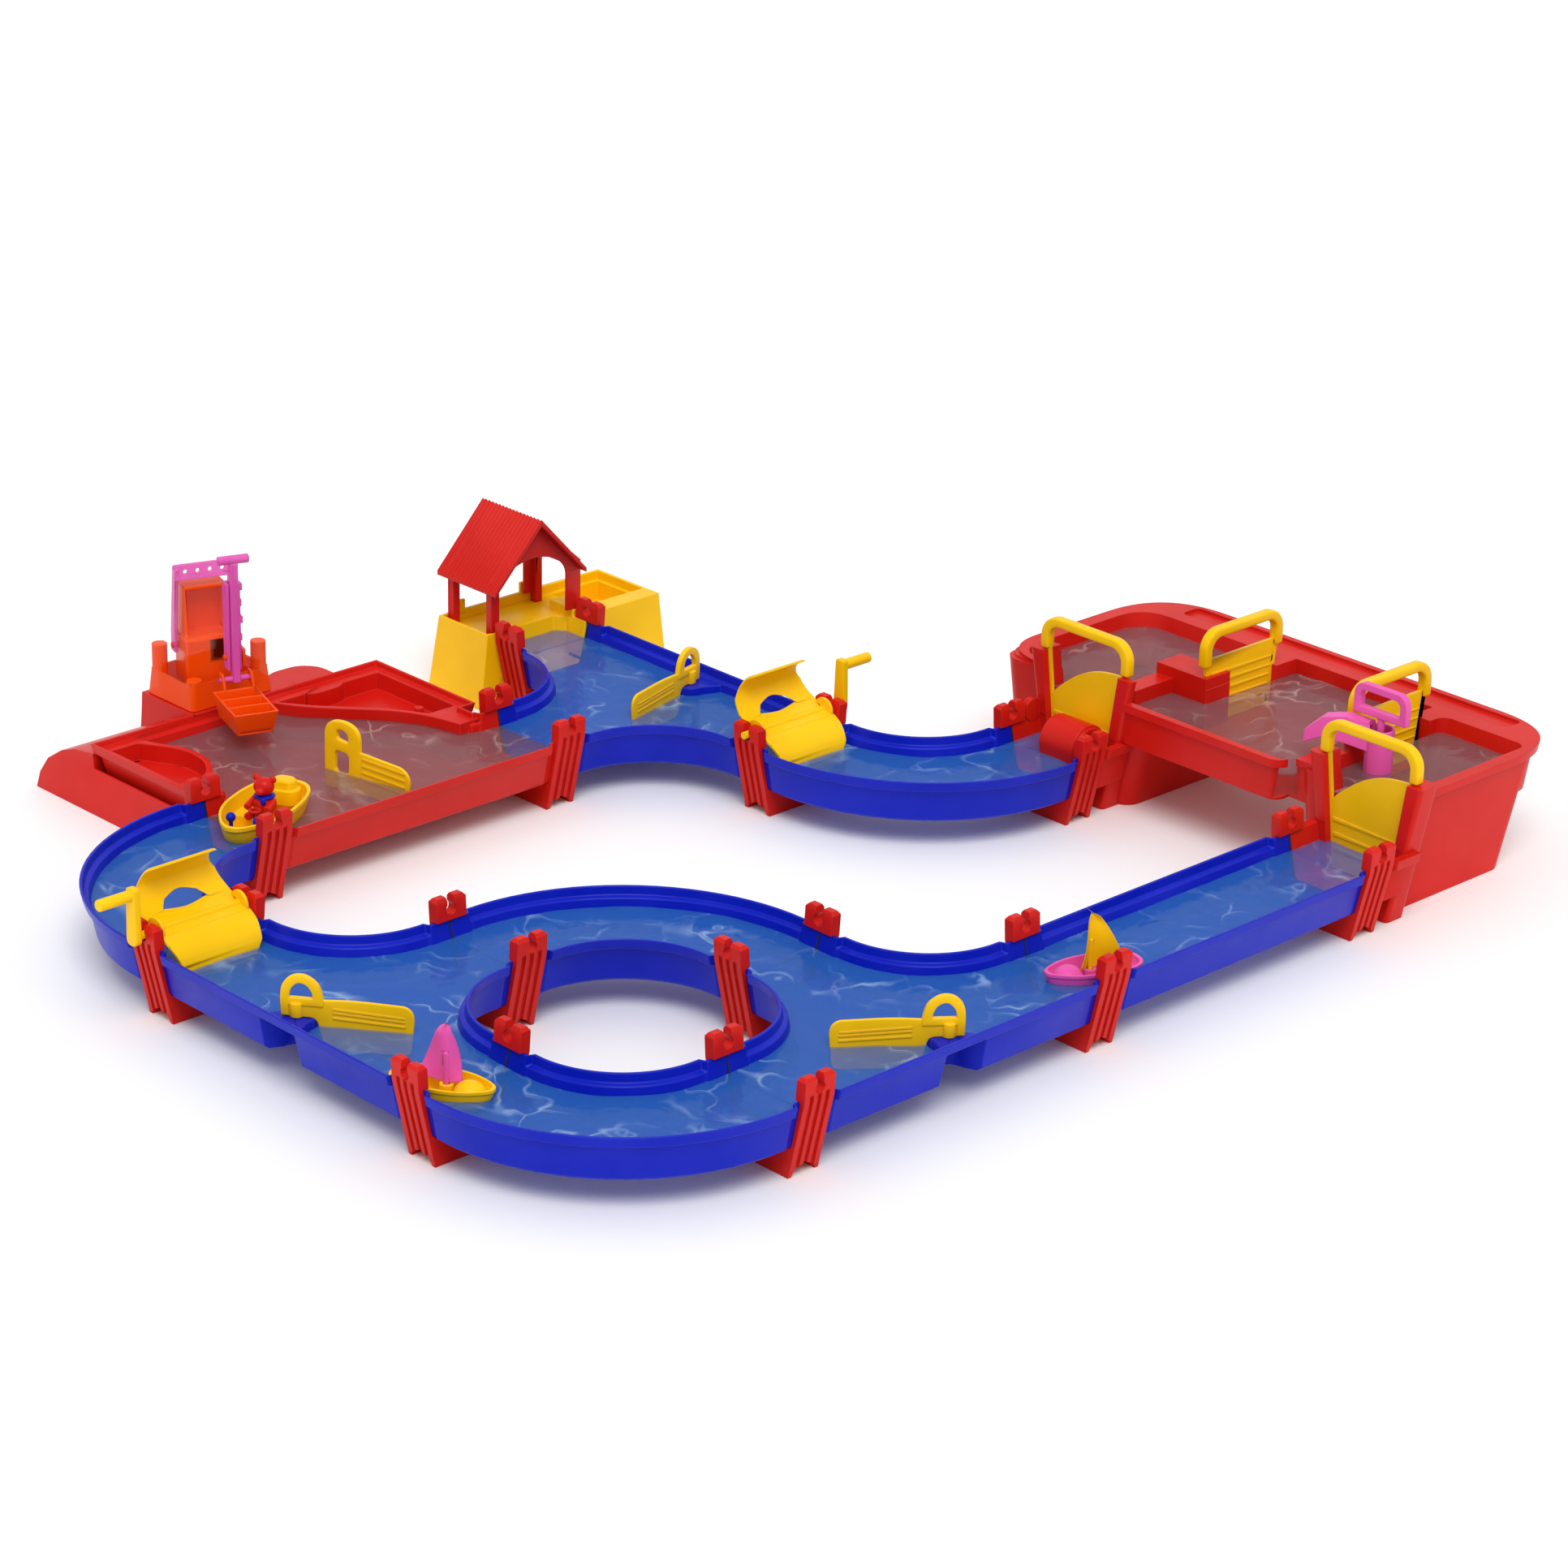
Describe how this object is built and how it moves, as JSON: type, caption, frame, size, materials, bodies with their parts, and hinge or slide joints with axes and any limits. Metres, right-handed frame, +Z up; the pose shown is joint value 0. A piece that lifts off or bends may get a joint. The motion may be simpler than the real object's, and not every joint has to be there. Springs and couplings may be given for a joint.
{
  "type": "canal water play set",
  "caption": "Clip-together water canals with a round loop, raised lock reservoir with hand pump, harbour basin with swivel crane, roofed dock, gates, paddle wheels and toy boats.",
  "frame": {"origin": "middle of the whole footprint, on the ground the clips stand on", "axes": "+Z up; +X from the round loop towards the raised reservoir, +Y from the front canal towards the harbour and the dock"},
  "size_m": [1.609, 1.3696, 0.2872],
  "materials": {
    "blue_plastic": "glossy moulded plastic",
    "red_plastic": "glossy moulded plastic",
    "yellow_plastic": "glossy moulded plastic",
    "pink_plastic": "glossy moulded plastic",
    "orange_plastic": "glossy moulded plastic",
    "black_rubber": "matt"
  },
  "bodies": {
    "canals": {"ring_back": "blue_plastic", "ring_front": "blue_plastic", "left_curve": "blue_plastic", "back_curve": "blue_plastic", "left_tee": "blue_plastic", "right_tee": "blue_plastic", "back_tee": "blue_plastic", "right_straight": "blue_plastic", "harbour": "red_plastic", "reservoir": "red_plastic", "clip_left_top": "red_plastic", "clip_ring_left_back": "red_plastic", "clip_ring_left_front": "red_plastic", "clip_ring_right_back": "red_plastic", "clip_ring_right_front": "red_plastic", "clip_right_mid": "red_plastic", "clip_right_end": "red_plastic", "clip_harbour_left": "red_plastic", "clip_harbour_right": "red_plastic", "clip_dock": "red_plastic", "clip_back_mid": "red_plastic", "clip_back_end": "red_plastic", "dock": "yellow_plastic", "pump_body": "pink_plastic", "crane_base": "orange_plastic", "seal_left_top": "black_rubber", "seal_ring_left_back": "black_rubber", "seal_ring_left_front": "black_rubber", "seal_ring_right_back": "black_rubber", "seal_ring_right_front": "black_rubber", "seal_right_mid": "black_rubber", "seal_right_end": "black_rubber", "seal_harbour_left": "black_rubber", "seal_harbour_right": "black_rubber", "seal_dock": "black_rubber", "seal_back_mid": "black_rubber", "seal_back_end": "black_rubber"},
    "gate_left": {"gate_left": "yellow_plastic"},
    "gate_right": {"gate_right": "yellow_plastic"},
    "gate_back": {"gate_back": "yellow_plastic"},
    "gate_harbour": {"gate_harbour": "yellow_plastic"},
    "wheel_left": {"wheel_left": "yellow_plastic"},
    "wheel_back": {"wheel_back": "yellow_plastic"},
    "lock_front": {"lock_front": "yellow_plastic"},
    "lock_rear": {"lock_rear": "yellow_plastic"},
    "lock_right": {"lock_right": "yellow_plastic"},
    "lock_left": {"lock_left": "yellow_plastic"},
    "pump_piston": {"pump_piston": "pink_plastic"},
    "crane_cab": {"crane_cab": "orange_plastic"},
    "crane_frame": {"crane_frame": "pink_plastic"},
    "crane_jib": {"crane_jib": "pink_plastic"},
    "crane_rod": {"crane_rod": "pink_plastic"},
    "crane_container": {"crane_container": "orange_plastic"},
    "roof": {"roof": "red_plastic"},
    "boat_row": {"boat_row": "yellow_plastic"},
    "figure": {"figure": "red_plastic"},
    "boat_yellow": {"boat_yellow": "yellow_plastic"},
    "sail_pink": {"sail_pink": "pink_plastic"},
    "boat_pink": {"boat_pink": "pink_plastic"},
    "sail_yellow": {"sail_yellow": "yellow_plastic"}
  },
  "joints": [
    {"name": "gate_left_swing", "type": "hinge", "parent": "canals", "child": "gate_left", "pos_m": [-0.7135, -0.16075, 0.078], "axis": [0, 0, 1], "range_deg": [-33, 137]},
    {"name": "gate_right_swing", "type": "hinge", "parent": "canals", "child": "gate_right", "pos_m": [-0.234, -0.64025, 0.078], "axis": [0, 0, 1], "range_deg": [-137, 33]},
    {"name": "gate_back_swing", "type": "hinge", "parent": "canals", "child": "gate_back", "pos_m": [0.2455, 0.28025, 0.078], "axis": [0, 0, 1], "range_deg": [-98, 72]},
    {"name": "gate_harbour_swing", "type": "hinge", "parent": "canals", "child": "gate_harbour", "pos_m": [-0.2495, 0.34675, 0.046], "axis": [0, 0, 1], "range_deg": [-40, 120]},
    {"name": "wheel_left_spin", "type": "hinge", "parent": "canals", "child": "wheel_left", "pos_m": [-0.675, 0.05975, 0.105], "axis": [1, 0, 0], "continuous": true},
    {"name": "wheel_back_spin", "type": "hinge", "parent": "canals", "child": "wheel_back", "pos_m": [0.207, 0.05975, 0.105], "axis": [1, 0, 0], "continuous": true},
    {"name": "lock_front_lift", "type": "slide", "parent": "canals", "child": "lock_front", "axis": [0, 0, 1], "range_m": [0, 0.07]},
    {"name": "lock_rear_lift", "type": "slide", "parent": "canals", "child": "lock_rear", "axis": [0, 0, 1], "range_m": [0, 0.07]},
    {"name": "lock_right_lift", "type": "slide", "parent": "canals", "child": "lock_right", "axis": [0, 0, 1], "range_m": [0, 0.06]},
    {"name": "lock_left_lift", "type": "slide", "parent": "canals", "child": "lock_left", "axis": [0, 0, 1], "range_m": [0, 0.06]},
    {"name": "pump_stroke", "type": "slide", "parent": "canals", "child": "pump_piston", "axis": [0, 0, 1], "range_m": [0, 0.05]},
    {"name": "crane_swivel", "type": "hinge", "parent": "canals", "child": "crane_cab", "pos_m": [-0.2465, 0.61875, 0.0945], "axis": [0, 0, 1], "range_deg": [-60, 30]},
    {"name": "crane_frame_tilt", "type": "hinge", "parent": "crane_cab", "child": "crane_frame", "pos_m": [-0.24324, 0.62821, 0.152], "axis": [0.9455, -0.3256, 0], "range_deg": [-20, 25]},
    {"name": "crane_jib_tilt", "type": "hinge", "parent": "crane_cab", "child": "crane_jib", "pos_m": [-0.25091, 0.55681, 0.155], "axis": [0.9455, -0.3256, 0], "range_deg": [-25, 10]},
    {"name": "crane_rod_slide", "type": "slide", "parent": "crane_jib", "child": "crane_rod", "axis": [0, 0, 1], "range_m": [-0.025, 0.006]},
    {"name": "crane_container_tip", "type": "hinge", "parent": "crane_rod", "child": "crane_container", "pos_m": [-0.25416, 0.54736, 0.13], "axis": [0.9455, -0.3256, 0], "range_deg": [-20, 20]},
    {"name": "roof_lift", "type": "slide", "parent": "canals", "child": "roof", "axis": [0, 0, 1], "range_m": [0, 0.05]},
    {"name": "boat_row_lift", "type": "slide", "parent": "canals", "child": "boat_row", "axis": [0, 0, 1], "range_m": [0, 0.06]},
    {"name": "figure_lift", "type": "slide", "parent": "boat_row", "child": "figure", "axis": [0, 0, 1], "range_m": [0, 0.04]},
    {"name": "boat_yellow_lift", "type": "slide", "parent": "canals", "child": "boat_yellow", "axis": [0, 0, 1], "range_m": [0, 0.06]},
    {"name": "sail_pink_lift", "type": "slide", "parent": "boat_yellow", "child": "sail_pink", "axis": [0, 0, 1], "range_m": [0, 0.03]},
    {"name": "boat_pink_lift", "type": "slide", "parent": "canals", "child": "boat_pink", "axis": [0, 0, 1], "range_m": [0, 0.06]},
    {"name": "sail_yellow_lift", "type": "slide", "parent": "boat_pink", "child": "sail_yellow", "axis": [0, 0, 1], "range_m": [0, 0.03]}
  ]
}
